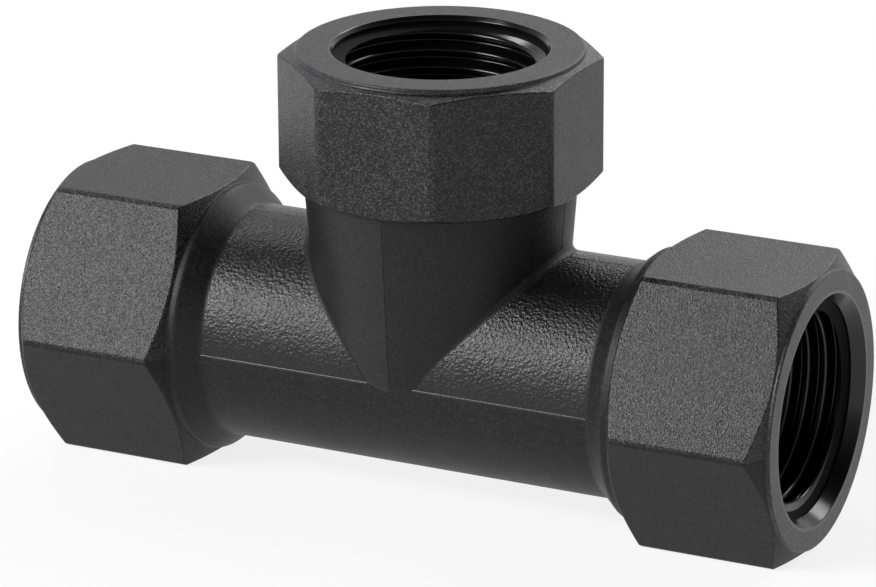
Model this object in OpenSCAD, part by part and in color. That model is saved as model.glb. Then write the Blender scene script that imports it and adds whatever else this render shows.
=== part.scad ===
// Moulded tee connector with three threaded sockets.
// The run lies along X and its two collars are hexagonal; the branch
// rises along +Z into an octagonal collar.  The part stands on the two
// lowest flats of the run collars, so Z = 0 is that plane, and the run
// and branch axes cross above the origin.

/* [Run] */
// Length between the two outer faces of the run
face_to_face = 82; // [80:0.5:100]
// Outer diameter of the run pipe
run_pipe_d = 23.8; // [22.5:0.1:24.6]
// Diameter of the waterway through the run
run_way_d = 17; // [16.6:0.1:18]

/* [Branch] */
// Height of the branch face above the run axis
branch_height = 31.7; // [31:0.1:40]
// Outer diameter of the branch where it leaves the run axis
branch_root_d = 24.4; // [24.2:0.1:24.8]
// Outer diameter of the branch where it enters its collar
branch_neck_d = 27.3; // [26:0.1:28]
// Diameter of the waterway in the branch
branch_way_d = 16.4; // [14:0.1:16.4]
// Depth under the run axis over which the branch wall fades into the run
root_fade = 2.2; // [1.5:0.1:4]

/* [Run collars] */
// Width across the flats of the hexagonal run collars
run_flats = 28; // [27.9:0.1:28.6]
// Turned diameter that blunts the six long corners
run_corner_d = 32; // [31:0.1:32.1]
// Length of each run collar along its axis
run_collar_len = 17.1; // [16:0.1:20]
// Diameter of the round land next to the face
run_face_d = 27.8; // [26.6:0.1:27.8]
// Length of that round land
run_land = 0.4; // [0.35:0.05:2]
// Length over which the corners are cut back at the outer end
run_nose = 1.35; // [0.6:0.05:2.4]
// Length over which the corners are cut back at the inner end
run_heel = 1.3; // [0.8:0.1:3]

/* [Run necks] */
// Diameter of the shoulder behind each run collar
shoulder_d = 27.4; // [26:0.1:27.6]
// Length of the rounded shoulder behind each run collar
shoulder_len = 0.6; // [0.4:0.1:2]
// Length of the flare from the shoulder down to the pipe
flare_len = 2.1; // [1.6:0.1:5]
// Roundness of the shoulder's rim
shoulder_round = 0.7; // [0.2:0.1:0.8]

/* [Branch collar] */
// Width across the flats of the octagonal branch collar
branch_flats = 29.9; // [29.3:0.1:30.6]
// Turned diameter that blunts the eight long corners
branch_corner_d = 32.16; // [31.6:0.02:32.26]
// Length of the branch collar along its axis
branch_collar_len = 13.4; // [12:0.1:14]
// Diameter of the round land next to the face
branch_face_d = 28.6; // [27.6:0.1:29.2]
// Length of that round land
branch_land = 0.46; // [0.4:0.02:1]
// Length over which the corners are cut back at the top
branch_nose = 0.5; // [0.2:0.02:1]
// Length over which the corners are cut back at the bottom
branch_heel = 0.75; // [0.3:0.05:1.5]
// Diameter of the flat underside of the branch collar
branch_underside_d = 29.2; // [28.6:0.1:29.7]

/* [Sockets] */
// Minor diameter of the half inch pipe thread, left as a plain wall
thread_minor_d = 18.63; // [18.4:0.01:18.9]
// Depth of each run socket from its face
run_socket_depth = 13.5; // [12:0.5:14]
// Depth of the branch socket from its face
branch_socket_depth = 12.5; // [11:0.5:13]
// Mouth diameter of the run sockets
run_mouth_d = 23.2; // [22.4:0.1:23.6]
// Mouth diameter of the branch socket
branch_mouth_d = 21.8; // [21.6:0.1:22.8]
// Diameter at the inner end of each entry cone
entry_d = 21.2; // [20.9:0.1:21.5]
// Depth of the entry cones of the run
run_entry_depth = 1.25; // [0.8:0.05:1.5]
// Depth of the entry cone of the branch
branch_entry_depth = 0.4; // [0.3:0.05:1]
// Length of the lead-in from the entry cone to the thread
lead_in = 0.6; // [0.4:0.1:1.4]
// Depth over which each socket narrows to the waterway
step_len = 0.9; // [0.5:0.1:2]

/* [Finish] */
// Radius on the outer rim of each face
rim_round = 0.15; // [0.1:0.05:0.3]

/* [Hidden] */
$fn = 128;
hexagon = 6;
octagon = 8;
// Steps in a quarter round
round_steps = 4;
// Height of the run axis above the plane that the part stands on
axis_height = run_flats / 2;
half_run = face_to_face / 2;
// Where the run collar, its shoulder and its flare end, from the middle
collar_in = half_run - run_collar_len;
shoulder_in = collar_in - shoulder_len;
flare_in = shoulder_in - flare_len;
// How far the shoulder reaches into the collar
shoulder_bury = 5;
// How far each collar's turned heel sinks below the shoulder
heel_sink = 0.25;
// How far every cutter passes the face that it opens
clear = 0.5;
// How far the sockets' inner steps pass the wall of the waterway
step_pass = 0.4;
// How far the branch wall reaches into its collar
neck_bury = 2;

// Points of a quarter round, from the end face round to the side
function quarter(r_side, z_face, r) = [
    for (i = [0:round_steps])
        let (a = 90 - 90 * i / round_steps)
        [r_side - r + r * cos(a), z_face - r + r * sin(a)]
];

// A round shape whose half outline is the given list of [radius, height]
module turned(outline) {
    rotate_extrude() polygon(outline);
}

// Lays a shape that points along +Z along the run: side is +1 or -1
module on_run(side) {
    translate([0, 0, axis_height]) rotate([0, 90 * side, 0]) children();
}

// Lifts a shape from the crossing of the axes
module on_branch() {
    translate([0, 0, axis_height]) children();
}

// Regular prism with flats across the given width; its top is at Z = 0
module prism(sides, flats, length, turn) {
    translate([0, 0, -length]) rotate([0, 0, turn])
        cylinder(h = length, d = flats / cos(180 / sides), $fn = sides);
}

// Wrench collar: a prism trimmed by a turned blank, face at Z = 0
module collar(sides, flats, corner_d, length, turn, face_d, land, nose, heel, heel_d) {
    color([0.13, 0.13, 0.14])
    intersection() {
        prism(sides, flats, length, turn);
        turned(concat(
            [[0, 0]],
            quarter(face_d / 2, 0, rim_round),
            [[face_d / 2, -land],
             [corner_d / 2, -land - nose],
             [corner_d / 2, -length + heel],
             [heel_d / 2, -length],
             [0, -length]]));
    }
}

// Half of the run wall with its flare and shoulder, from the middle outwards
module run_wall() {
    shoulder_r = shoulder_d / 2;
    color([0.14, 0.14, 0.15])
    turned(concat(
        [[0, -clear], [run_pipe_d / 2, -clear], [run_pipe_d / 2, flare_in]],
        [for (i = [0:round_steps])
            let (lean = atan2(shoulder_r - run_pipe_d / 2, flare_len),
                 a = (90 - lean) * i / round_steps - (90 - lean))
            [shoulder_r - shoulder_round + shoulder_round * cos(a),
             shoulder_in + shoulder_round + shoulder_round * sin(a)]],
        [[shoulder_r, collar_in + shoulder_bury], [0, collar_in + shoulder_bury]]));
}

// Branch wall: it widens from the run axis up to the collar
module branch_wall() {
    color([0.14, 0.14, 0.15])
    turned([
        [0, -root_fade],
        [branch_root_d / 2 - root_fade / 2, -root_fade],
        [branch_root_d / 2, 0],
        [branch_neck_d / 2, branch_height - branch_collar_len],
        [branch_neck_d / 2, branch_height - branch_collar_len + neck_bury],
        [0, branch_height - branch_collar_len + neck_bury]]);
}

// Cutter of one socket: entry cone, lead-in, thread wall and inner step
module socket(mouth_d, entry_depth, depth, way_d) {
    flare_out = (mouth_d - entry_d) / 2 / entry_depth * clear;
    thread_r = thread_minor_d / 2;
    way_r = way_d / 2;
    // the inner step keeps its slope to a point inside the waterway
    run_on = step_len * (thread_r - way_r + step_pass) / (thread_r - way_r);
    turned([
        [0, clear],
        [mouth_d / 2 + flare_out, clear],
        [entry_d / 2, -entry_depth],
        [thread_r, -entry_depth - lead_in],
        [thread_r, -depth],
        [way_r - step_pass, -depth - run_on],
        [0, -depth - run_on]]);
}

// Cutters of all three sockets and of both waterways
module water_space() {
    for (side = [-1, 1]) on_run(side) {
        translate([0, 0, half_run])
            socket(run_mouth_d, run_entry_depth, run_socket_depth, run_way_d);
    }
    on_branch() {
        translate([0, 0, branch_height])
            socket(branch_mouth_d, branch_entry_depth, branch_socket_depth, branch_way_d);
        cylinder(h = branch_height - branch_socket_depth, d = branch_way_d);
    }
    on_run(1) translate([0, 0, -half_run + run_socket_depth])
        cylinder(h = face_to_face - 2 * run_socket_depth, d = run_way_d);
}

module body() {
    difference() {
        union() {
            for (side = [-1, 1]) on_run(side) {
                run_wall();
                translate([0, 0, half_run])
                    collar(hexagon, run_flats, run_corner_d, run_collar_len, 30,
                           run_face_d, run_land, run_nose, run_heel,
                           shoulder_d - 2 * heel_sink);
            }
            on_branch() {
                branch_wall();
                translate([0, 0, branch_height])
                    collar(octagon, branch_flats, branch_corner_d, branch_collar_len, 22.5,
                           branch_face_d, branch_land, branch_nose, branch_heel,
                           branch_underside_d);
            }
        }
        water_space();
    }
}

body();
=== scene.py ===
"""Looks of a moulded pipe tee: one black glass-filled nylon body with three threaded sockets.

Lengths in the classes are millimetres and turn into metres when a mesh is built.  The run lies along X and
the branch rises along Z.  Shapes are made around the point where the two axes cross, which is AXIS_HEIGHT
above the floor, and a collar or socket is made with its face at z = 0 and its depth measured inwards.
"""

import logging
import math
from collections.abc import Callable
from dataclasses import dataclass, field
from enum import Enum, IntEnum

import bmesh
import bpy
import numpy as np
from bpy.types import ID, Material, Node, NodeSocket, NodeTree, Object
from mathutils import Matrix, Vector
from mathutils.geometry import delaunay_2d_cdt


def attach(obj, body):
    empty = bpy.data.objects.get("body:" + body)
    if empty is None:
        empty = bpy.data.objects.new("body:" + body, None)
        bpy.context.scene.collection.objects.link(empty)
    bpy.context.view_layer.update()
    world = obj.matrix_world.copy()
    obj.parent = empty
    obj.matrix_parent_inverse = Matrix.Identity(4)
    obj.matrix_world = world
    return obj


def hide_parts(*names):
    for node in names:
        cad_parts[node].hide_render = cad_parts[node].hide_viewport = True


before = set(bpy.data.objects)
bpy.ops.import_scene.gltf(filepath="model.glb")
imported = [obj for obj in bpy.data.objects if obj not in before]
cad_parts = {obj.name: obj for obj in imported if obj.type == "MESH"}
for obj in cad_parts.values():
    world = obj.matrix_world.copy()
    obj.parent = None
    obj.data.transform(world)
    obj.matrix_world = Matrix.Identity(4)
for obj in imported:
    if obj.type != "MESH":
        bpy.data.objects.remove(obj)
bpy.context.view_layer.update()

Array = np.ndarray
LOG = logging.getLogger("tee")
MM = 0.001
AXIS_HEIGHT = 14.0
FULL_TURN = 2 * math.pi
# Points nearer than WELD become one, and faces thinner than SLIVER are taken out.
WELD, SLIVER = 0.0006, 0.0002
# Edges that turn by more than this many degrees stay sharp.
SHARP_TURN = 38
# Distance of the extra points that keep the flats beside a rounding flat.
HOLD = 0.1
# Most that a rounding and the way to its extra point may take of the stretch between two corners.
ROUND_SHARE, HOLD_SHARE = 0.42, 0.1
# Sockets of the mix node when it mixes plain numbers.
FACTOR, FIRST, SECOND = 0, 2, 3


class Finish(IntEnum):
    """How a patch of the mould was finished; the value is the patch's material slot."""

    GRAINED = 0
    LEATHERED = 1
    SATIN = 2
    FACED = 3
    CUT = 4
    WALL = 5
    DRAWN = 6
    SEAM = 7
    # Lead-in cone of the thread, painted near black as shade rather than given a real finish.
    START = 8


class Side(Enum):
    """Which end of the run a collar sits on; the value is the sign of its X."""

    LEFT = -1
    RIGHT = 1

    def place(self, points: Array) -> Array:
        """Lays points whose axis is +Z along this end of the run.

        Args:
            points: positions around the collar's own axis, last dimension 3.

        Returns:
            The same points with the axis along X and the rest turned with it.
        """
        sign = self.value
        return np.stack([sign * points[..., 2], points[..., 1], -sign * points[..., 0]], -1)


def ring(radius: Array | float, depth: Array | float, angle: Array | float) -> Array:
    """Puts cylinder coordinates into space.

    Args:
        radius: distance from the axis.
        depth: distance below the face, which is at z = 0.
        angle: turn round the axis in radians.

    Returns:
        Positions, last dimension 3.
    """
    radius, depth, angle = np.broadcast_arrays(radius, depth, angle)
    return np.stack([radius * np.cos(angle), radius * np.sin(angle), -depth], -1)


def stand(name: str, data: ID) -> Object:
    """Puts a new object that shows the given mesh, lamp or camera into the scene."""
    made = bpy.data.objects.new(name, data)
    bpy.context.scene.collection.objects.link(made)
    return made


def unit(vectors: Array) -> Array:
    """Scales vectors, one in each row, to length one."""
    return vectors / np.linalg.norm(vectors, axis=1, keepdims=True)


def rounded(corners: Array, radii: list[float], steps: int = 5) -> Array:
    """Rounds the inner corners of many polylines at once with true arcs.

    Args:
        corners: polylines, as (lines, corners, 2).
        radii: rounding of each inner corner.
        steps: faces across each rounding.

    Returns:
        The rounded polylines, as (lines, points, 2).
    """
    out = [corners[:, :1]]
    t = np.linspace(0, 1, steps + 1)[None, :, None]
    for i, radius in enumerate(radii, start=1):
        v = corners[:, i]
        a, b = corners[:, i - 1] - v, corners[:, i + 1] - v
        la, lb = np.linalg.norm(a, axis=1), np.linalg.norm(b, axis=1)
        ua, ub = a / la[:, None], b / lb[:, None]
        half = np.arccos(np.clip((ua * ub).sum(1), -1, 1)) / 2
        reach = np.minimum(radius / np.tan(half), ROUND_SHARE * np.minimum(la, lb))
        start, end = v + ua * reach[:, None], v + ub * reach[:, None]
        weight = np.sin(half)[:, None, None] * 2 * t * (1 - t)
        arc = (1 - t) ** 2 * start[:, None] + weight * v[:, None] + t ** 2 * end[:, None]
        arc = arc / ((1 - t) ** 2 + weight + t ** 2)
        before = start + ua * np.minimum(HOLD, HOLD_SHARE * la)[:, None]
        after = end + ub * np.minimum(HOLD, HOLD_SHARE * lb)[:, None]
        out += [before[:, None], arc, after[:, None]]
    out.append(corners[:, -1:])
    return np.concatenate(out, axis=1)


class Skin:
    """Gathers sheets of faces and turns them into one welded mesh."""

    def __init__(self) -> None:
        """Starts an empty skin."""
        self.points: list[Array] = []
        self.faces: list[tuple[int, ...]] = []
        self.finishes: list[int] = []
        self.count = 0

    def add(self, points: Array) -> int:
        """Adds points.

        Args:
            points: positions in millimetres, as (points, 3).

        Returns:
            The index of the first of them.
        """
        first = self.count
        self.points.append(points)
        self.count += len(points)
        return first

    def sheet(self, rows: Array, finish: Finish | Array, closed: bool = True) -> None:
        """Adds a grid of four-sided faces.

        Args:
            rows: grid of positions, as (rows, columns, 3).
            finish: one finish, or the slot of each face as (rows - 1, faces in a row).
            closed: whether the last column joins the first.
        """
        m, n = rows.shape[:2]
        index = self.add(rows.reshape(-1, 3)) + np.arange(m * n).reshape(m, n)
        across = np.roll(index, -1, axis=1)
        last = n if closed else n - 1
        quads = np.stack([index[:-1], index[1:], across[1:], across[:-1]], -1)[:, :last]
        self.faces += [tuple(q) for q in quads.reshape(-1, 4).tolist()]
        slots = finish if isinstance(finish, Array) else np.full(quads.shape[:2], finish)
        self.finishes += slots.reshape(-1).tolist()

    def stitch(self, outer: Array, inner: Array, finish: Finish,
               place: Callable[[Array], Array]) -> None:
        """Joins two rings that have different numbers of points.

        Args:
            outer: one ring, in order of its turn round the axis.
            inner: the other ring, in the same order.
            finish: finish of the faces between them.
            place: puts points of the rings where they belong.
        """
        a, b = self.add(place(outer)), self.add(place(inner))
        turn_a, turn_b = (np.unwrap(np.arctan2(r[:, 1], r[:, 0])) for r in (outer, inner))
        near = int(np.argmin(np.abs((turn_b - turn_a[0] + math.pi) % FULL_TURN - math.pi)))
        turn_b = np.roll(turn_b, -near)
        turn_b = np.unwrap(turn_b) + FULL_TURN * round((turn_a[0] - turn_b[0]) / FULL_TURN)
        order_b = np.roll(np.arange(len(inner)), -near)
        i = j = 0
        while i < len(outer) or j < len(inner):
            next_a = turn_a[i + 1] if i + 1 < len(outer) else turn_a[0] + FULL_TURN
            next_b = turn_b[j + 1] if j + 1 < len(inner) else turn_b[0] + FULL_TURN
            here_a, here_b = a + i % len(outer), b + int(order_b[j % len(inner)])
            if j >= len(inner) or (i < len(outer) and next_a <= next_b):
                i += 1
                self.faces.append((here_a, a + i % len(outer), here_b))
            else:
                j += 1
                self.faces.append((here_a, b + int(order_b[j % len(inner)]), here_b))
            self.finishes.append(int(finish))

    def patch(self, points: Array, triangles: list[tuple[int, ...]], slots: list[int]) -> None:
        """Adds loose triangles.

        Args:
            points: positions, as (points, 3).
            triangles: indices into points.
            slots: material slot of each triangle.
        """
        first = self.add(points)
        self.faces += [tuple(first + i for i in face) for face in triangles]
        self.finishes += slots

    def build(self, name: str, materials: list[Material]) -> Object:
        """Welds what was gathered into one object.

        Args:
            name: name of the object.
            materials: materials in the order of the finishes.

        Returns:
            The object, in metres and lifted to the height of the run axis.
        """
        points = (np.concatenate(self.points) + [0, 0, AXIS_HEIGHT]) * MM
        mesh = bpy.data.meshes.new(name)
        mesh.from_pydata(points.tolist(), [], self.faces)
        mesh.polygons.foreach_set("material_index", self.finishes)
        work = bmesh.new()
        work.from_mesh(mesh)
        bmesh.ops.remove_doubles(work, verts=work.verts, dist=WELD * MM)
        bmesh.ops.dissolve_degenerate(work, edges=work.edges, dist=SLIVER * MM)
        bmesh.ops.recalc_face_normals(work, faces=work.faces)
        open_edges = sum(1 for e in work.edges if not e.is_manifold)
        work.to_mesh(mesh)
        work.free()
        mesh.polygons.foreach_set("use_smooth", [True] * len(mesh.polygons))
        mesh.set_sharp_from_angle(angle=math.radians(SHARP_TURN))
        for material in materials:
            mesh.materials.append(material)
        made = stand(name, mesh)
        triangles = sum(len(p.vertices) - 2 for p in mesh.polygons)
        LOG.info("%s: %d triangles, %d open edges", name, triangles, open_edges)
        return made


@dataclass
class Socket:
    """Parallel half inch pipe socket: lip, entry cone, plain relief, thread and the step to the waterway."""

    mouth_r: float
    entry_depth: float
    depth: float
    way_r: float
    phase: float = 0.0
    entry_r: float = 10.6
    relief: float = 0.2
    lead_in: float = 0.3
    step_len: float = 0.9
    minor_r: float = 9.315
    pitch: float = 1.814
    thread_depth: float = 1.162
    crest_round: float = 0.249
    flank: float = math.radians(27.5)
    lip: float = 0.3
    lip_round: float = 0.12
    entry_round: float = 0.1
    foot_round: float = 0.3
    bend_steps: int = 3
    columns: int = 120
    lead_rows: int = 9
    rows_a_turn: int = 16
    runout: float = 1.6
    runout_gap: float = 0.25
    hand_over: float = 1.2

    def angles(self) -> Array:
        """Turns of the socket's columns."""
        return np.arange(self.columns) / self.columns * FULL_TURN

    def groove(self, turns: Array) -> Array:
        """Depth of the thread form below its crest.

        Args:
            turns: place along the thread in pitches; a crest is at every whole number.

        Returns:
            Depth in millimetres: two arcs joined by a straight flank.
        """
        along = np.abs((turns + 0.5) % 1 - 0.5) * self.pitch
        half = self.pitch / 2
        side = math.pi / 2 - self.flank
        edge = self.crest_round * math.sin(side)
        rise = self.crest_round * (1 - math.cos(side))
        crest = self.crest_round - np.sqrt(np.maximum(self.crest_round ** 2 - along ** 2, 0))
        root = self.thread_depth - self.crest_round + np.sqrt(
            np.maximum(self.crest_round ** 2 - (half - along) ** 2, 0))
        straight = rise + (along - edge) / math.tan(self.flank)
        return np.where(along < edge, crest, np.where(along > half - edge, root, straight))

    def wall(self, depth: Array, angle: Array) -> Array:
        """Radius of the threaded wall.

        Args:
            depth: distance below the face.
            angle: turn round the axis.

        Returns:
            Radius, with the first turns cut away by the relief and its cone and the last ones fading out.
        """
        turns = depth / self.pitch + angle / FULL_TURN + self.phase
        left = np.clip((self.depth - self.runout_gap - depth) / self.runout, 0, 1)
        cut = self.minor_r + self.groove(turns) * left * left * (3 - 2 * left)
        share = np.maximum(depth - self.entry_depth - self.relief, 0) / self.lead_in
        return np.maximum(cut, self.entry_r - (self.entry_r - self.minor_r) * share)

    def thread(self) -> Array:
        """Rows that follow the thread, with the first column repeated a full turn later."""
        angle = np.append(self.angles(), FULL_TURN)
        top = self.entry_depth + self.relief + self.lead_in
        step = self.pitch / self.rows_a_turn
        count = math.ceil((self.depth - top + self.pitch) / step) + 1
        depth = top + np.arange(count)[:, None] * step - self.pitch * angle / FULL_TURN
        depth = np.clip(depth, top, self.depth)
        return ring(self.wall(depth, angle), depth, angle)

    def turned(self, corners: list[list[float]], radii: list[float]) -> Array:
        """Rings of an outline given as corners of radius and depth and their roundings."""
        line = rounded(np.array([corners]), radii, steps=self.bend_steps)[0]
        return np.array([ring(r, d, self.angles()) for r, d in line])

    def sheets(self) -> list[tuple[Array, bool, Finish]]:
        """The socket from its face down to the waterway.

        Returns:
            Sheets of positions, each with whether its last column joins its first, and its finish.
        """
        relief_end = self.entry_depth + self.relief
        lip = self.turned([[self.mouth_r + self.lip, 0], [self.mouth_r, 0], [self.entry_r, self.entry_depth],
                           [self.entry_r, relief_end]], [self.lip_round, self.entry_round])
        start = np.linspace(relief_end, relief_end + self.lead_in, self.lead_rows)[:, None]
        lead = ring(self.wall(start, self.angles()), start, self.angles())
        foot = self.turned([[self.minor_r, self.depth], [self.way_r, self.depth + self.step_len],
                            [self.way_r, self.end_depth()]], [self.foot_round])
        # The lead-in cone gets the painted-shade finish, so it stays as dark as the shaded turns behind it.
        return [(lip, True, Finish.CUT), (lead, True, Finish.START), (self.thread(), False, Finish.CUT),
                (foot, True, Finish.CUT)]

    def end_depth(self) -> float:
        """Depth at which the socket hands over to the waterway."""
        return self.depth + self.step_len + self.hand_over


@dataclass
class Collar:
    """Wrench collar: a prism with rounded corners, trimmed at both ends by a turned blank.

    The offset is the distance of its face from the crossing of the axes.
    """

    offset: float
    sides: int
    flats: float
    corner_r: float
    length: float
    face_r: float
    land: float
    nose: float
    heel: float
    heel_r: float
    corner_round: float
    edge_round: float
    socket: Socket
    flat_steps: int = 18
    arc_steps: int = 6
    column_hold: float = 0.12
    rim_round: float = 0.15
    land_round: float = 0.12
    heel_round: float = 0.15
    face_gap: float = 0.02

    def place(self, points: Array) -> Array:
        """Moves points made around the collar's own face to where it sits on the body."""
        return points + np.array([0, 0, self.offset])

    def columns(self) -> tuple[Array, Array]:
        """Turn and reach of each column round the rounded prism.

        Returns:
            Angles in radians from 0, and the distance of the outline from the axis at each.
        """
        half = math.pi / self.sides
        core = self.flats / 2 - self.corner_round
        reach = core * math.tan(half)
        inner = np.linspace(-reach + self.column_hold, reach - self.column_hold, self.flat_steps - 1)
        flat = np.concatenate([[-reach], inner, [reach]])
        turn = np.linspace(0, 2 * half, self.arc_steps + 1)[1:-1]
        arc = np.stack([core + self.corner_round * np.cos(turn),
                        reach + self.corner_round * np.sin(turn)], -1)
        side = np.concatenate([np.stack([0 * flat + self.flats / 2, flat], -1), arc])
        turns = np.arange(self.sides)[:, None] * 2 * half
        angle = (np.arctan2(side[:, 1], side[:, 0]) + turns).ravel()
        radius = np.tile(np.hypot(side[:, 0], side[:, 1]), self.sides)
        return angle, np.minimum(radius, self.corner_r)

    def tail(self) -> tuple[list[tuple[float, float]], list[float]]:
        """Corners of the outline behind the heel cone and their roundings, for each kind of collar."""
        raise NotImplementedError

    def heel_depth(self, radius: Array | float) -> Array | float:
        """Depth at which the heel cone has the given radius."""
        return self.length - self.heel * (radius - self.heel_r) / (self.corner_r - self.heel_r)

    def outline(self) -> tuple[Array, Array]:
        """Rounded section of every column.

        Returns:
            Angles of the columns, and their sections as (columns, points, 2) of radius and depth.
        """
        angle, reach = self.columns()
        lens = self.land + self.nose * (reach - self.face_r) / (self.corner_r - self.face_r)
        flat = np.ones_like(reach)
        points = [(self.socket.mouth_r + self.socket.lip) * flat, 0 * flat, self.face_r * flat, 0 * flat,
                  self.face_r * flat, self.land * flat, reach, lens, reach, self.heel_depth(reach)]
        tail, roundings = self.tail()
        for r, d in tail:
            points += [r * flat, d * flat]
        corners = np.stack(points, -1).reshape(len(reach), -1, 2)
        radii = [self.rim_round, self.land_round, self.edge_round, self.edge_round] + roundings
        return angle, rounded(corners, radii)

    def rows(self) -> Array:
        """Rings from the face back to the end of the section, as (rows, columns, 3)."""
        angle, section = self.outline()
        return ring(section[..., 0].T, section[..., 1].T, angle[None, :])

    def finish_of(self, rows: Array) -> Array:
        """Slots of the faces between placed rows, as (rows - 1, columns), for each kind of collar."""
        raise NotImplementedError

    def shape(self, skin: Skin) -> Array:
        """Adds the collar and its socket.

        Args:
            skin: where the faces go.

        Returns:
            The last ring, where the pipe or the branch wall takes over.
        """
        placed = self.place(self.rows())
        skin.sheet(placed, self.finish_of(placed))
        for rows, closed, finish in self.socket.sheets():
            skin.sheet(self.place(rows), finish, closed)
        return placed[-1]

    def close_face(self, skin: Skin) -> None:
        """Stitches the face to the lip of the socket."""
        angle, _reach = self.columns()
        radius = self.socket.mouth_r + self.socket.lip
        outer, inner = (ring(radius, 0.0, a) for a in (angle, self.socket.angles()))
        skin.stitch(outer, inner, Finish.FACED, self.place)


@dataclass
class RunCollar(Collar):
    """Hexagonal collar of the run, with the shoulder and flare that join it to the pipe."""

    side: Side = Side.RIGHT
    shoulder_r: float = 13.7
    shoulder_len: float = 0.6
    shoulder_round: float = 0.7
    flare_len: float = 2.1
    flare_round: float = 0.8
    pipe_r: float = 11.9
    overlap: float = 1.3
    satin_gap: float = 0.1
    leather_gap: float = 0.3

    def place(self, points: Array) -> Array:
        """Lays the collar's points along its end of the run."""
        return self.side.place(super().place(points))

    def flare_end(self) -> float:
        """Depth at which the flare has come down to the pipe."""
        return self.length + self.shoulder_len + self.flare_len

    def tail(self) -> tuple[list[tuple[float, float]], list[float]]:
        """Corners of the shoulder, the flare and the first stretch of pipe, with their roundings."""
        flare = self.flare_end()
        corners = [(self.shoulder_r, self.heel_depth(self.shoulder_r)),
                   (self.shoulder_r, self.length + self.shoulder_len), (self.pipe_r, flare),
                   (self.pipe_r, flare + self.overlap)]
        return corners, [self.heel_round, self.shoulder_round, self.flare_round]

    def finish_of(self, rows: Array) -> Array:
        """Grained above the axis, satin below it and on the neck, a faced end, leather grain on the pipe."""
        centre = (rows[:-1] + rows[1:]) / 2
        centre = (centre + np.roll(centre, -1, axis=1)) / 2
        depth, above = self.offset - np.abs(centre[..., 0]), centre[..., 2] > 0
        slots = np.where(above, Finish.GRAINED, Finish.SATIN)
        slots = np.where(depth > self.length - self.satin_gap, Finish.SATIN, slots)
        slots = np.where(above & (depth > self.flare_end() + self.leather_gap), Finish.LEATHERED, slots)
        return np.where(depth < self.land + self.face_gap, Finish.FACED, slots)


@dataclass
class BranchCollar(Collar):
    """Octagonal collar of the branch, with its flat underside and the top of the branch wall."""

    neck_r: float = 13.65
    root_r: float = 12.2
    neck_len: float = 0.6
    neck_round: float = 0.18
    wall_gap: float = 0.05

    def tail(self) -> tuple[list[tuple[float, float]], list[float]]:
        """Corners of the underside and of the first stretch of branch wall, with their roundings."""
        wall = self.neck_r - (self.neck_r - self.root_r) * self.neck_len / (self.offset - self.length)
        return ([(self.heel_r, self.length), (self.neck_r, self.length), (wall, self.length + self.neck_len)],
                [self.heel_round, self.neck_round])

    def finish_of(self, rows: Array) -> Array:
        """The whole collar is grained, its face is faced and the wall below it is plain."""
        depth = self.offset - (rows[:-1, :, 2] + rows[1:, :, 2]) / 2
        slots = np.where(depth > self.length - self.wall_gap, Finish.WALL, Finish.GRAINED)
        return np.where(depth < self.land + self.face_gap, Finish.FACED, slots)


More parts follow.
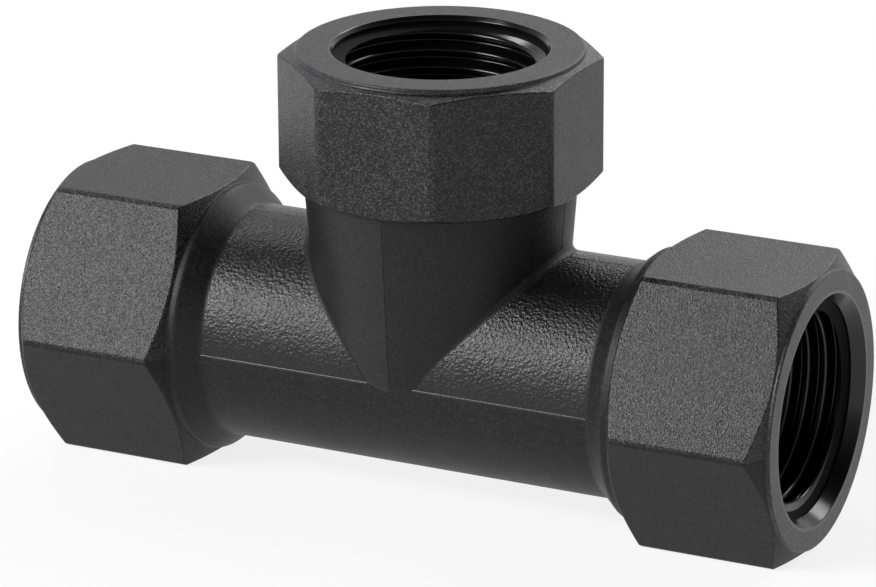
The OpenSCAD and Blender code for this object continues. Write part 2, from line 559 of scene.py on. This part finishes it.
@dataclass
class WindowedTube:
    """A length of cylinder along X with an opening cut in it from above."""

    radius: float
    grid_x: float
    grid_turn: float
    clear_share: float = 0.4
    seam_gap: float = 1e-4
    level_gap: float = 1e-6
    middle_gap: float = 0.02

    def unroll(self, points: Array) -> Array:
        """Flattens points on the tube: x, and the arc from its highest line towards +Y."""
        return np.stack([points[:, 0], np.arctan2(points[:, 1], points[:, 2]) * self.radius], -1)

    def roll(self, flat: Array) -> Array:
        """Bends flattened points back on the tube."""
        turn = flat[:, 1] / self.radius
        return np.stack([flat[:, 0], self.radius * np.sin(turn), self.radius * np.cos(turn)], -1)

    def shape(self, skin: Skin, left: Array, right: Array, loop: Array,
              upper: Finish, lower: Finish) -> None:
        """Fills the tube between two end rings and round the opening.

        Args:
            skin: where the faces go.
            left: ring at the low X end, in any order.
            right: ring at the high X end.
            loop: edge of the opening, in order.
            upper: finish above the axis.
            lower: finish below it.
        """
        half = math.pi * self.radius
        ends = []
        for end in (left, right):
            flat = self.unroll(end)
            flat[flat[:, 1] < -half + self.seam_gap, 1] = half
            flat = flat[np.argsort(flat[:, 1])]
            ends.append(np.concatenate([[[flat[0, 0], -half]], flat]))
        hole = self.unroll(loop)
        x_low, x_high = ends[0][0, 0], ends[1][0, 0]
        xs = np.linspace(x_low, x_high, 2 * round((x_high - x_low) / self.grid_x / 2) + 1)[1:-1]
        seams = [np.stack([xs, 0 * xs + s * half], -1) for s in (-1, 1)]
        turns = np.arange(-180 + self.grid_turn, 180 - self.grid_turn / 2, self.grid_turn)
        grid = np.array([(x, math.radians(t) * self.radius) for x in xs for t in turns])
        grid = grid[self.clear_of(grid, hole, self.clear_share * self.grid_x)]
        chunks = [*ends, *seams, hole, grid]
        starts = np.cumsum([0] + [len(c) for c in chunks])
        flat = np.concatenate(chunks)
        edges = [(starts[4] + i, starts[4] + (i + 1) % len(hole)) for i in range(len(hole))]
        edges += self.parting_edges(grid, hole, starts[5], starts[4])
        made = delaunay_2d_cdt([Vector(p) for p in flat.tolist()], edges, [], 0, self.level_gap)
        points = np.array([tuple(p) for p in made[0]])
        triangles, slots = [], []
        for face in made[2]:
            centre = points[list(face)].mean(0)
            if not self.inside(centre[None], hole)[0]:
                triangles.append(tuple(face))
                above = abs(centre[1]) < half / 2
                slots.append(int(upper if above else lower))
        skin.patch(self.roll(points), triangles, slots)

    def parting_edges(self, grid: Array, hole: Array, first: int,
                      first_hole: int) -> list[tuple[int, int]]:
        """Edges that keep the mesh split along the two lines level with the axis.

        Args:
            grid: flattened inner points.
            hole: flattened edge of the opening.
            first: index of the first grid point.
            first_hole: index of the first point of the opening.

        Returns:
            Pairs of point indices, each line ending on the nearest point of the opening.
        """
        edges = []
        for level in (-1, 1):
            arc = level * math.pi * self.radius / 2
            on = np.flatnonzero(np.abs(grid[:, 1] - arc) < self.level_gap)
            for sign in (-1, 1):
                line = on[np.argsort(-sign * grid[on, 0])]
                line = line[sign * grid[line, 0] > 0]
                edges += [(int(first + a), int(first + b)) for a, b in zip(line[:-1], line[1:])]
                side = np.flatnonzero(sign * hole[:, 0] > self.middle_gap)
                if len(line) and np.abs(hole[side, 1]).max() > abs(arc):
                    near = side[np.argmin(np.abs(hole[side, 1] - arc))]
                    edges.append((int(first + line[-1]), int(first_hole + near)))
        return edges

    @staticmethod
    def inside(points: Array, loop: Array) -> Array:
        """Tells which flattened points lie in a loop."""
        x, y = points[:, :1], points[:, 1:]
        ax, ay = loop[:, 0][None], loop[:, 1][None]
        bx, by = np.roll(ax, -1, axis=1), np.roll(ay, -1, axis=1)
        crosses = (ay > y) != (by > y)
        with np.errstate(divide="ignore", invalid="ignore"):
            at = (bx - ax) * (y - ay) / (by - ay) + ax
        return (np.where(crosses, x < at, False).sum(1) % 2) == 1

    def clear_of(self, points: Array, loop: Array, gap: float) -> Array:
        """Tells which points lie outside a loop by at least a gap."""
        distance = np.min(np.linalg.norm(points[:, None] - loop[None], axis=2), axis=1)
        return ~self.inside(points, loop) & (distance > gap)


@dataclass
class Branch:
    """Tapered wall of the branch and the small fillet that runs round its foot."""

    root_r: float = 12.2
    neck_r: float = 13.65
    neck_height: float = 18.3
    fade_slope: float = 0.5
    fade_round: float = 0.1
    fillet: float = 0.75
    fillet_steps: int = 8
    rows: int = 26
    crowding: float = 1.7
    lowest: float = -1.9
    highest: float = 14.0
    halvings: int = 60

    def wall(self, z: Array) -> tuple[Array, Array]:
        """Radius of the wall and its slope.

        Args:
            z: height above the run axis.

        Returns:
            The radius, and its change with height; below the axis the wall fades into the pipe.
        """
        taper = (self.neck_r - self.root_r) / self.neck_height
        gap = (taper - self.fade_slope) * z
        root = np.sqrt(gap ** 2 + self.fade_round ** 2)
        radius = self.root_r + ((taper + self.fade_slope) * z - root) / 2
        slope = (taper + self.fade_slope - gap * (taper - self.fade_slope) / root) / 2
        return radius, slope

    def ball(self, z: Array, angle: Array) -> tuple[Array, Array]:
        """Centre of a ball that touches the wall at the given height.

        Args:
            z: height of the touching point.
            angle: turn round the branch.

        Returns:
            The centre, and the wall's outward normal, both as (columns, 3).
        """
        radius, slope = self.wall(z)
        size = np.sqrt(1 + slope ** 2)
        normal = np.stack([np.cos(angle) / size, np.sin(angle) / size, -slope / size], -1)
        return ring(radius, -z, angle) + self.fillet * normal, normal

    def shape(self, skin: Skin, top: Array, pipe_r: float) -> Array:
        """Adds the wall and its fillet.

        Args:
            skin: where the faces go.
            top: ring under the collar, where the wall starts.
            pipe_r: outer radius of the run pipe.

        Returns:
            The loop where the fillet meets the pipe.
        """
        angle = np.arctan2(top[:, 1], top[:, 0])
        low, high = np.full(len(top), self.lowest), np.full(len(top), self.highest)
        for _ in range(self.halvings):
            middle = (low + high) / 2
            centre, _normal = self.ball(middle, angle)
            outside = centre[:, 1] ** 2 + centre[:, 2] ** 2 > (pipe_r + self.fillet) ** 2
            low, high = np.where(outside, low, middle), np.where(outside, middle, high)
        foot = (low + high) / 2
        centre, normal = self.ball(foot, angle)
        share = ((np.arange(self.rows + 1) / self.rows) ** self.crowding)[::-1]
        heights = foot[None] + share[:, None] * (top[0, 2] - foot)[None]
        radius, _slope = self.wall(heights)
        wall = ring(radius, -heights, angle)
        wall[0] = top
        near = wall[:-1, :, 0] + np.roll(wall[:-1, :, 0], -1, axis=1)
        skin.sheet(wall, np.where(near < 0, Finish.DRAWN, Finish.WALL))
        away = unit(centre * [0, 1, 1])
        bend = np.arccos(np.clip((normal * away).sum(1), -1, 1))[:, None]
        t = np.linspace(0, 1, self.fillet_steps + 1)[:, None, None]
        mixed = (np.sin((1 - t) * bend) * normal + np.sin(t * bend) * away) / np.sin(bend)
        strip = centre - self.fillet * mixed
        skin.sheet(strip, Finish.WALL)
        return strip[-1]


@dataclass
class MouldLine:
    """Hair-thin ridge where two parts of the mould met, half sunk in the surface that it crosses."""

    width: float = 0.2
    rise: float = 0.035
    sink: float = 0.1
    crown: float = 0.4

    def shape(self, skin: Skin, path: Array, normal: Array) -> None:
        """Adds one ridge.

        Args:
            skin: where the faces go.
            path: points on the surface, as (points, 3).
            normal: outward direction of the surface at each of them.
        """
        across = unit(np.cross(np.gradient(path, axis=0), normal))
        half = self.width / 2
        crown = self.crown * half
        section = ((-half, -self.sink), (-crown, self.rise), (crown, self.rise), (half, -self.sink))
        rows = np.stack([path + across * side + normal * up for side, up in section], axis=1)
        skin.sheet(rows, Finish.SEAM)
        for end in (rows[0], rows[-1]):
            skin.patch(end, [(0, 1, 2, 3)], [Finish.SEAM])


@dataclass
class Moulding:
    """The whole moulded body: three collars with their sockets, the run pipe and the branch."""

    half_run: float = 41.0
    branch_height: float = 31.7
    pipe_r: float = 11.9
    way_r: float = 8.5
    branch_way_r: float = 8.2
    way_rows: int = 6
    left_phase: float = 0.1
    right_phase: float = 0.78
    line_points: int = 24
    line_gap: float = 0.05
    foot_gap: float = 0.9
    line_start: float = 0.4
    branch: Branch = field(default_factory=Branch)

    def run_collar(self, side: Side, phase: float) -> RunCollar:
        """A collar of the run on the given side, its thread starting at the given part of a turn."""
        socket = Socket(mouth_r=11.6, entry_r=10.75, entry_depth=1.25, depth=13.5, way_r=self.way_r,
                        phase=phase)
        return RunCollar(offset=self.half_run, sides=6, flats=28.0, corner_r=15.998, length=17.1, face_r=13.9,
                         land=0.4, nose=1.35, heel=1.3, heel_r=13.45, corner_round=0.6, edge_round=0.25,
                         side=side, socket=socket)

    def branch_collar(self) -> BranchCollar:
        """The collar of the branch."""
        socket = Socket(mouth_r=10.9, entry_depth=0.4, relief=0.45, depth=12.5, way_r=self.branch_way_r,
                        phase=0.876)
        return BranchCollar(offset=self.branch_height, sides=8, flats=29.9, corner_r=16.08, length=13.4,
                            face_r=14.3, land=0.46, nose=0.5, heel=0.75, heel_r=14.6, corner_round=0.6,
                            edge_round=0.22, flat_steps=14, rim_round=0.4, land_round=0.5, socket=socket)

    def waterways(self, skin: Skin, collars: list[RunCollar], top: BranchCollar) -> None:
        """Adds the walls of the waterways and their sharp crossing.

        Args:
            skin: where the faces go.
            collars: left and right collars of the run.
            top: the collar of the branch.
        """
        ends = [c.place(ring(self.way_r, c.socket.end_depth(), c.socket.angles())) for c in collars]
        angle = top.socket.angles()
        height = np.sqrt(self.way_r ** 2 - (self.branch_way_r * np.sin(angle)) ** 2)
        crossing = ring(self.branch_way_r, -height, angle)
        start = top.place(ring(self.branch_way_r, top.socket.end_depth(), angle))
        share = np.linspace(0, 1, self.way_rows)[:, None, None]
        skin.sheet(start[None] * (1 - share) + crossing[None] * share, Finish.CUT)
        tube = WindowedTube(radius=self.way_r, grid_x=1.6, grid_turn=6)
        tube.shape(skin, ends[0], ends[1], crossing, Finish.CUT, Finish.CUT)

    def neck_lines(self, skin: Skin, collar: RunCollar) -> None:
        """Adds the parting ridges that run over a collar's shoulder and flare.

        Args:
            skin: where the faces go.
            collar: the collar.
        """
        _angle, sections = collar.outline()
        section = sections[0]
        low, high = collar.length + self.line_gap, collar.flare_end() + self.line_gap
        tail = section[(section[:, 1] > low) & (section[:, 1] < high)]
        slope = np.gradient(tail, axis=0)
        out = unit(np.stack([slope[:, 1], -slope[:, 0]], -1))
        for turn in (-math.pi / 2, math.pi / 2):
            path = collar.place(ring(*tail.T, turn))
            normal = collar.side.place(ring(*out.T, turn))
            MouldLine().shape(skin, path, normal)

    def pipe_lines(self, skin: Skin, loop: Array, reach: float) -> None:
        """Adds the ridges along the pipe: level with the axis front and back, and along its top.

        Args:
            skin: where the faces go.
            loop: where the branch meets the pipe.
            reach: distance from the middle at which the flares begin.
        """
        level, crest = MouldLine(width=0.3, rise=0.05, sink=0.02), MouldLine()
        for way, line in (((0, -1, 0), level), ((0, 1, 0), level), ((0, 0, 1), crest)):
            normal = np.array(way, float)
            near = loop[np.abs(loop - normal * self.pipe_r)[:, 1:].sum(1) < self.foot_gap]
            foot = np.abs(near[:, 0]).max() if len(near) else 0.0
            for sign in (-1, 1):
                x = np.linspace(foot, reach, self.line_points)[:, None] * sign
                path = x * [1, 0, 0] + normal * self.pipe_r
                line.shape(skin, path, 0 * path + normal)

    def branch_lines(self, skin: Skin, top: BranchCollar) -> None:
        """Adds the four ridges that run up the branch between the slides of the mould.

        Args:
            skin: where the faces go.
            top: the collar of the branch.
        """
        for turn in np.arange(4) * math.pi / 2:
            across = abs(math.cos(turn)) > 0.5
            low = self.pipe_r + self.line_start if across else self.line_start
            z = np.linspace(low, top.offset - top.length, self.line_points)
            radius, slope = self.branch.wall(z)
            MouldLine().shape(skin, ring(radius, -z, turn), unit(ring(1, slope, turn)))

    def build(self, materials: list[Material]) -> Object:
        """Makes the body.

        Args:
            materials: materials in the order of the finishes.

        Returns:
            The object.
        """
        skin = Skin()
        collars = [self.run_collar(Side.LEFT, self.left_phase), self.run_collar(Side.RIGHT, self.right_phase)]
        top = self.branch_collar()
        rings = [collar.shape(skin) for collar in collars]
        for collar in collars:
            collar.close_face(skin)
        branch_top = top.shape(skin)
        top.close_face(skin)
        loop = self.branch.shape(skin, branch_top, self.pipe_r)
        tube = WindowedTube(radius=self.pipe_r, grid_x=0.8, grid_turn=3)
        tube.shape(skin, rings[0], rings[1], loop, Finish.LEATHERED, Finish.SATIN)
        self.waterways(skin, collars, top)
        for collar in collars:
            self.neck_lines(skin, collar)
        self.pipe_lines(skin, loop, self.half_run - collars[0].flare_end())
        self.branch_lines(skin, top)
        return skin.build("tee_moulding", materials)


def linear(colour: str) -> tuple[float, float, float, float]:
    """Turns an sRGB hex colour into linear RGBA."""
    parts = [int(colour[i:i + 2], 16) / 255 for i in (1, 3, 5)]
    return (*[p / 12.92 if p <= 0.04045 else ((p + 0.055) / 1.055) ** 2.4 for p in parts], 1.0)


def add(tree: NodeTree, kind: str, settings: dict | None = None,
        links: dict | None = None) -> Node:
    """Adds a node.

    Args:
        tree: the tree that it goes in.
        kind: the node's type, without the prefix that all of them share.
        settings: values of its inputs or properties, by input name or number.
        links: the output that feeds each input.

    Returns:
        The new node.
    """
    made = tree.nodes.new("ShaderNode" + kind)
    for name, value in (settings or {}).items():
        if isinstance(name, str) and name not in made.inputs:
            setattr(made, name, value)
        else:
            made.inputs[name].default_value = value
    for name, source in (links or {}).items():
        tree.links.new(source, made.inputs[name])
    return made


def ranged(tree: NodeTree, source: NodeSocket, span: tuple[float, float],
           result: tuple[float, float] = (0.0, 1.0), kind: str = "LINEAR") -> NodeSocket:
    """Adds a node that maps one range on another.

    Args:
        tree: the tree that it goes in.
        source: the value to map.
        span: the two ends of its range.
        result: what they become.
        kind: how the values between them change.

    Returns:
        The mapped value.
    """
    settings = {"From Min": span[0], "From Max": span[1], "To Min": result[0], "To Max": result[1],
                "interpolation_type": kind}
    return add(tree, "MapRange", settings, {"Value": source}).outputs["Result"]


@dataclass(frozen=True)
class MouldedNylon:
    """Black glass-filled nylon as it leaves one finish of the steel mould.

    Colours go from the darkest to the lightest fleck.  Grain is the mould's own texture and fibre a finer
    cell, both as width and depth in millimetres.  The fibre cells also fleck the colour: partly the glass
    that shows through the skin and partly painted glints, lighter specks that stand in for the sparkle of the
    grit.  The index is set below the polymer's own to hold the gloss down; it was matched to the object.
    """

    name: str
    colours: tuple[str, str]
    roughness: float
    grain: tuple[float, float]
    fibre: tuple[float, float]
    roughness_spread: float = 0.03
    stretch: tuple[float, float, float] = (1.0, 1.0, 1.0)
    ior: float = 1.43
    cloud: float = 6.0
    cloud_detail: float = 4.0
    cloud_span: tuple[float, float] = (0.3, 0.7)
    # Share of the fibre cells in the colour: lighter flecks, partly glass fibre and partly painted glints.
    fibre_and_glint_share: float = 0.75
    stops: tuple[float, float] = (0.5, 0.85)

    def material(self) -> Material:
        """Builds the material.

        Returns:
            A dielectric with cloudy colour and roughness and two sizes of bump.
        """
        made = bpy.data.materials.new(self.name)
        made.use_nodes = True
        tree = made.node_tree
        tree.nodes.clear()
        place = add(tree, "TexCoord").outputs["Object"]
        stretched = add(tree, "Mapping", {"Scale": self.stretch}, {"Vector": place}).outputs[0]
        clouds = add(tree, "TexNoise", {"Scale": 1 / (self.cloud * MM), "Detail": self.cloud_detail},
                     {"Vector": place}).outputs["Fac"]
        (grain, grain_depth), (fibre, fibre_depth) = self.grain, self.fibre
        coarse = add(tree, "TexVoronoi", {"Scale": 1 / (grain * MM)}, {"Vector": stretched})
        fine = add(tree, "TexVoronoi", {"Scale": 1 / (fibre * MM)}, {"Vector": place})
        # Lighter flecks from the fibre cells: partly glass fibre in the skin, partly painted glints of the
        # grit's sparkle.
        fibre_and_glint_fleck = add(tree, "Mix", {"data_type": "FLOAT", FACTOR: self.fibre_and_glint_share},
                    {FIRST: clouds, SECOND: fine.outputs["Color"]})
        colour = add(tree, "ValToRGB", links={"Fac": fibre_and_glint_fleck.outputs[0]})
        ramp = colour.color_ramp
        for stop, share, tone in zip(ramp.elements, self.stops, self.colours):
            stop.position, stop.color = share, linear(tone)
        rough = ranged(tree, clouds, self.cloud_span,
                       (self.roughness - self.roughness_spread, self.roughness + self.roughness_spread))
        bump = add(tree, "Bump", {"Strength": 1.0, "Distance": grain_depth * MM},
                   {"Height": coarse.outputs["Distance"]})
        grit = add(tree, "Bump", {"Strength": 1.0, "Distance": fibre_depth * MM},
                   {"Height": fine.outputs["Distance"], "Normal": bump.outputs["Normal"]})
        shader = add(tree, "BsdfPrincipled", {"IOR": self.ior},
                     {"Base Color": colour.outputs["Color"], "Roughness": rough,
                      "Normal": grit.outputs["Normal"]})
        add(tree, "OutputMaterial", links={"Surface": shader.outputs["BSDF"]})
        return made


# Spark-eroded cavity: an even fine grit that breaks the light into glints on the wrench flats; the bright
# flecks in its colour are partly painted glints of that sparkle.
GRAINED_NYLON = MouldedNylon(
    "nylon_spark_grained", colours=("#050505", "#4c4c4e"), roughness=0.38, grain=(0.24, 0.026),
    fibre=(0.13, 0.026), ior=1.4)
# Glossier, softly pitted cavity: the light on the upper pipe breaks up like fine leather.
LEATHERED_NYLON = MouldedNylon(
    "nylon_leather_grained", colours=("#050505", "#171718"), roughness=0.35, roughness_spread=0.04,
    grain=(0.35, 0.05), fibre=(0.15, 0.024), ior=1.46)
# Plain polished-then-blasted lower cavity: dull and even, with hardly any glints.
SATIN_NYLON = MouldedNylon(
    "nylon_satin", colours=("#090909", "#262627"), roughness=0.5, grain=(0.5, 0.006), fibre=(0.18, 0.01),
    ior=1.37)
# End faces: flat ejector side of the mould with faint scores from its facing cut.
FACED_NYLON = MouldedNylon(
    "nylon_faced", colours=("#161617", "#44444a"), roughness=0.38, roughness_spread=0.04,
    grain=(0.25, 0.02), fibre=(0.18, 0.015), stretch=(1.0, 3.0, 1.0))
# Threaded cores are polished so that the part unscrews from them: smooth and a little shiny.
CUT_NYLON = MouldedNylon(
    "nylon_core_polished", colours=("#060606", "#0c0c0c"), roughness=0.2, roughness_spread=0.02,
    grain=(0.6, 0.002), fibre=(0.2, 0.002))
# Branch wall: fine, slightly drawn grain from the core pull.
WALL_NYLON = MouldedNylon(
    "nylon_branch_grain", colours=("#080808", "#262628"), roughness=0.5, grain=(0.3, 0.02),
    fibre=(0.12, 0.014), stretch=(1, 1, 1.6), ior=1.37)
# The other half of the branch wall was polished, so it is smoother and catches more light.
DRAWN_NYLON = MouldedNylon(
    "nylon_branch_smooth", colours=("#101011", "#242426"), roughness=0.42, grain=(0.5, 0.004),
    fibre=(0.2, 0.004))
# Thread start: painted shade, a near-black dull finish with its gloss held down, so that the lead-in cone
# reads as dark as the shaded turns behind it.
SHADED_START_NYLON = MouldedNylon(
    "nylon_thread_start_painted_shade", colours=("#040404", "#080808"), roughness=0.65, grain=(0.6, 0.002),
    fibre=(0.2, 0.002), ior=1.16)
# Mould line: a hair of flash, burnished where the two steel halves met.
SEAM_NYLON = MouldedNylon(
    "nylon_parting_flash", colours=("#111112", "#2a2a2c"), roughness=0.34, grain=(0.4, 0.004),
    fibre=(0.2, 0.004))


@dataclass(frozen=True)
class Lamp:
    """A soft box that lights the table from one side."""

    name: str
    place: tuple[float, float, float]
    aim: tuple[float, float, float]
    size: tuple[float, float]
    power: float

    def hang(self) -> None:
        """Adds the lamp to the scene."""
        light = bpy.data.lights.new(self.name, "AREA")
        light.shape = "RECTANGLE"
        light.size, light.size_y = self.size
        light.energy = self.power
        made = stand(self.name, light)
        made.location = self.place
        made.rotation_euler = (Vector(self.aim) - Vector(self.place)).to_track_quat("-Z", "Y").to_euler()


@dataclass
class Studio:
    """Plain white table, soft boxes and the camera."""

    lamps: tuple[Lamp, ...] = (
        Lamp("key", place=(-0.56, -0.72, 0.58), aim=(-0.01, 0, 0.02), size=(0.5, 0.45), power=12.0),
        Lamp("rim", place=(-0.58, 0.44, 0.78), aim=(0, 0, 0.02), size=(0.24, 0.2), power=1.6),
        Lamp("back", place=(0.15, 0.95, 0.75), aim=(0.06, 0.15, 0.0), size=(0.9, 0.4), power=7.0),
    )
    camera_place: tuple[float, float, float] = (199.66, -415.45, 186.14)
    azimuth: float = 25.7125
    elevation: float = 19.8291
    roll: float = -0.3035
    lens: float = 201.383
    sensor: float = 36.0
    clips: tuple[float, float] = (0.02, 50.0)
    ceiling: float = 0.03
    wall_levels: tuple[float, float] = (0.4, 0.75)
    wall_span: tuple[float, float] = (-0.3, 0.6)
    dimming: tuple[float, float] = (0.08, 0.3)
    darkening: tuple[float, float] = (0.25, 0.8)
    floor_reach: float = 4.0
    floor_albedo: str = "#bcbcbc"
    shadow_white: float = 0.95
    shadow_share: float = 0.18

    def camera(self) -> None:
        """Places the camera at the photograph's viewpoint."""
        a, e, roll = (math.radians(v) for v in (self.azimuth, self.elevation, self.roll))
        back = Vector((math.sin(a) * math.cos(e), -math.cos(a) * math.cos(e), math.sin(e)))
        right = Vector((math.cos(a), math.sin(a), 0))
        up = back.cross(right)
        right, up = (math.cos(roll) * right + math.sin(roll) * up,
                     -math.sin(roll) * right + math.cos(roll) * up)
        data = bpy.data.cameras.new("camera")
        data.lens, data.sensor_width = self.lens, self.sensor
        data.clip_start, data.clip_end = self.clips
        made = stand("camera", data)
        turned = Matrix((right, up, back)).transposed().to_4x4()
        made.matrix_world = Matrix.Translation(Vector(self.camera_place) * MM) @ turned
        bpy.context.scene.camera = made

    def floor(self) -> None:
        """Lays the table: white to the camera and in gloss, with a faint shadow, and pale to soft light."""
        mesh = bpy.data.meshes.new("floor")
        reach = self.floor_reach
        mesh.from_pydata([(-reach, -reach, 0), (reach, -reach, 0), (reach, reach, 0), (-reach, reach, 0)],
                         [], [(0, 1, 2, 3)])
        made = stand("floor", mesh)
        paper = bpy.data.materials.new("matt_white_paper")
        paper.use_nodes = True
        tree = paper.node_tree
        tree.nodes.clear()
        rays = add(tree, "LightPath").outputs
        direct = rays["Is Camera Ray"]
        for kind in ("Is Glossy Ray", "Is Transmission Ray"):
            either = {0: direct, 1: rays[kind]}
            direct = add(tree, "Math", {"operation": "MAXIMUM"}, either).outputs[0]
        white = add(tree, "BsdfDiffuse", {"Color": (*[self.shadow_white] * 3, 1)})
        glow = add(tree, "Emission", {"Color": (1, 1, 1, 1), "Strength": 1.0})
        shown = add(tree, "MixShader", {0: 1 - self.shadow_share},
                    {1: white.outputs[0], 2: glow.outputs[0]})
        plain = add(tree, "BsdfDiffuse", {"Color": linear(self.floor_albedo)})
        mixed = add(tree, "MixShader", links={0: direct, 1: plain.outputs[0], 2: shown.outputs[0]})
        add(tree, "OutputMaterial", links={"Surface": mixed.outputs[0]})
        mesh.materials.append(paper)

    def world(self) -> None:
        """Sets the room: white low down, walls that dim with height and a dark ceiling."""
        room = bpy.data.worlds.new("room")
        room.use_nodes = True
        tree = room.node_tree
        tree.nodes.clear()
        way = add(tree, "TexCoord").outputs["Generated"]
        parts = add(tree, "SeparateXYZ", links={0: way}).outputs
        wall = ranged(tree, parts["Y"], self.wall_span, self.wall_levels)
        low = ranged(tree, parts["Z"], self.dimming, kind="SMOOTHSTEP")
        high = ranged(tree, parts["Z"], self.darkening, kind="SMOOTHSTEP")
        level = add(tree, "Mix", {"data_type": "FLOAT", FIRST: 1.0},
                    {FACTOR: low, SECOND: wall}).outputs[0]
        level = add(tree, "Mix", {"data_type": "FLOAT", SECOND: self.ceiling},
                    {FACTOR: high, FIRST: level}).outputs[0]
        glow = add(tree, "Background", {"Color": (1, 1, 1, 1)}, {"Strength": level})
        add(tree, "OutputWorld", links={"Surface": glow.outputs[0]})
        bpy.context.scene.world = room

    def set_up(self) -> None:
        """Makes the whole studio."""
        self.camera()
        self.floor()
        self.world()
        for lamp in self.lamps:
            lamp.hang()
        bpy.context.scene.view_settings.view_transform = "Standard"


def main() -> None:
    """Builds the studio and the part."""
    logging.basicConfig(level=logging.INFO, format="%(name)s: %(message)s")
    Studio().set_up()
    LOG.info("studio: table, room and lamps")
    finishes = {Finish.GRAINED: GRAINED_NYLON, Finish.LEATHERED: LEATHERED_NYLON, Finish.SATIN: SATIN_NYLON,
                Finish.FACED: FACED_NYLON, Finish.CUT: CUT_NYLON, Finish.WALL: WALL_NYLON,
                Finish.DRAWN: DRAWN_NYLON, Finish.SEAM: SEAM_NYLON, Finish.START: SHADED_START_NYLON}
    body = Moulding().build([finishes[f].material() for f in Finish])
    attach(body, "root")
    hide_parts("body")


if __name__ == "__main__":
    main()
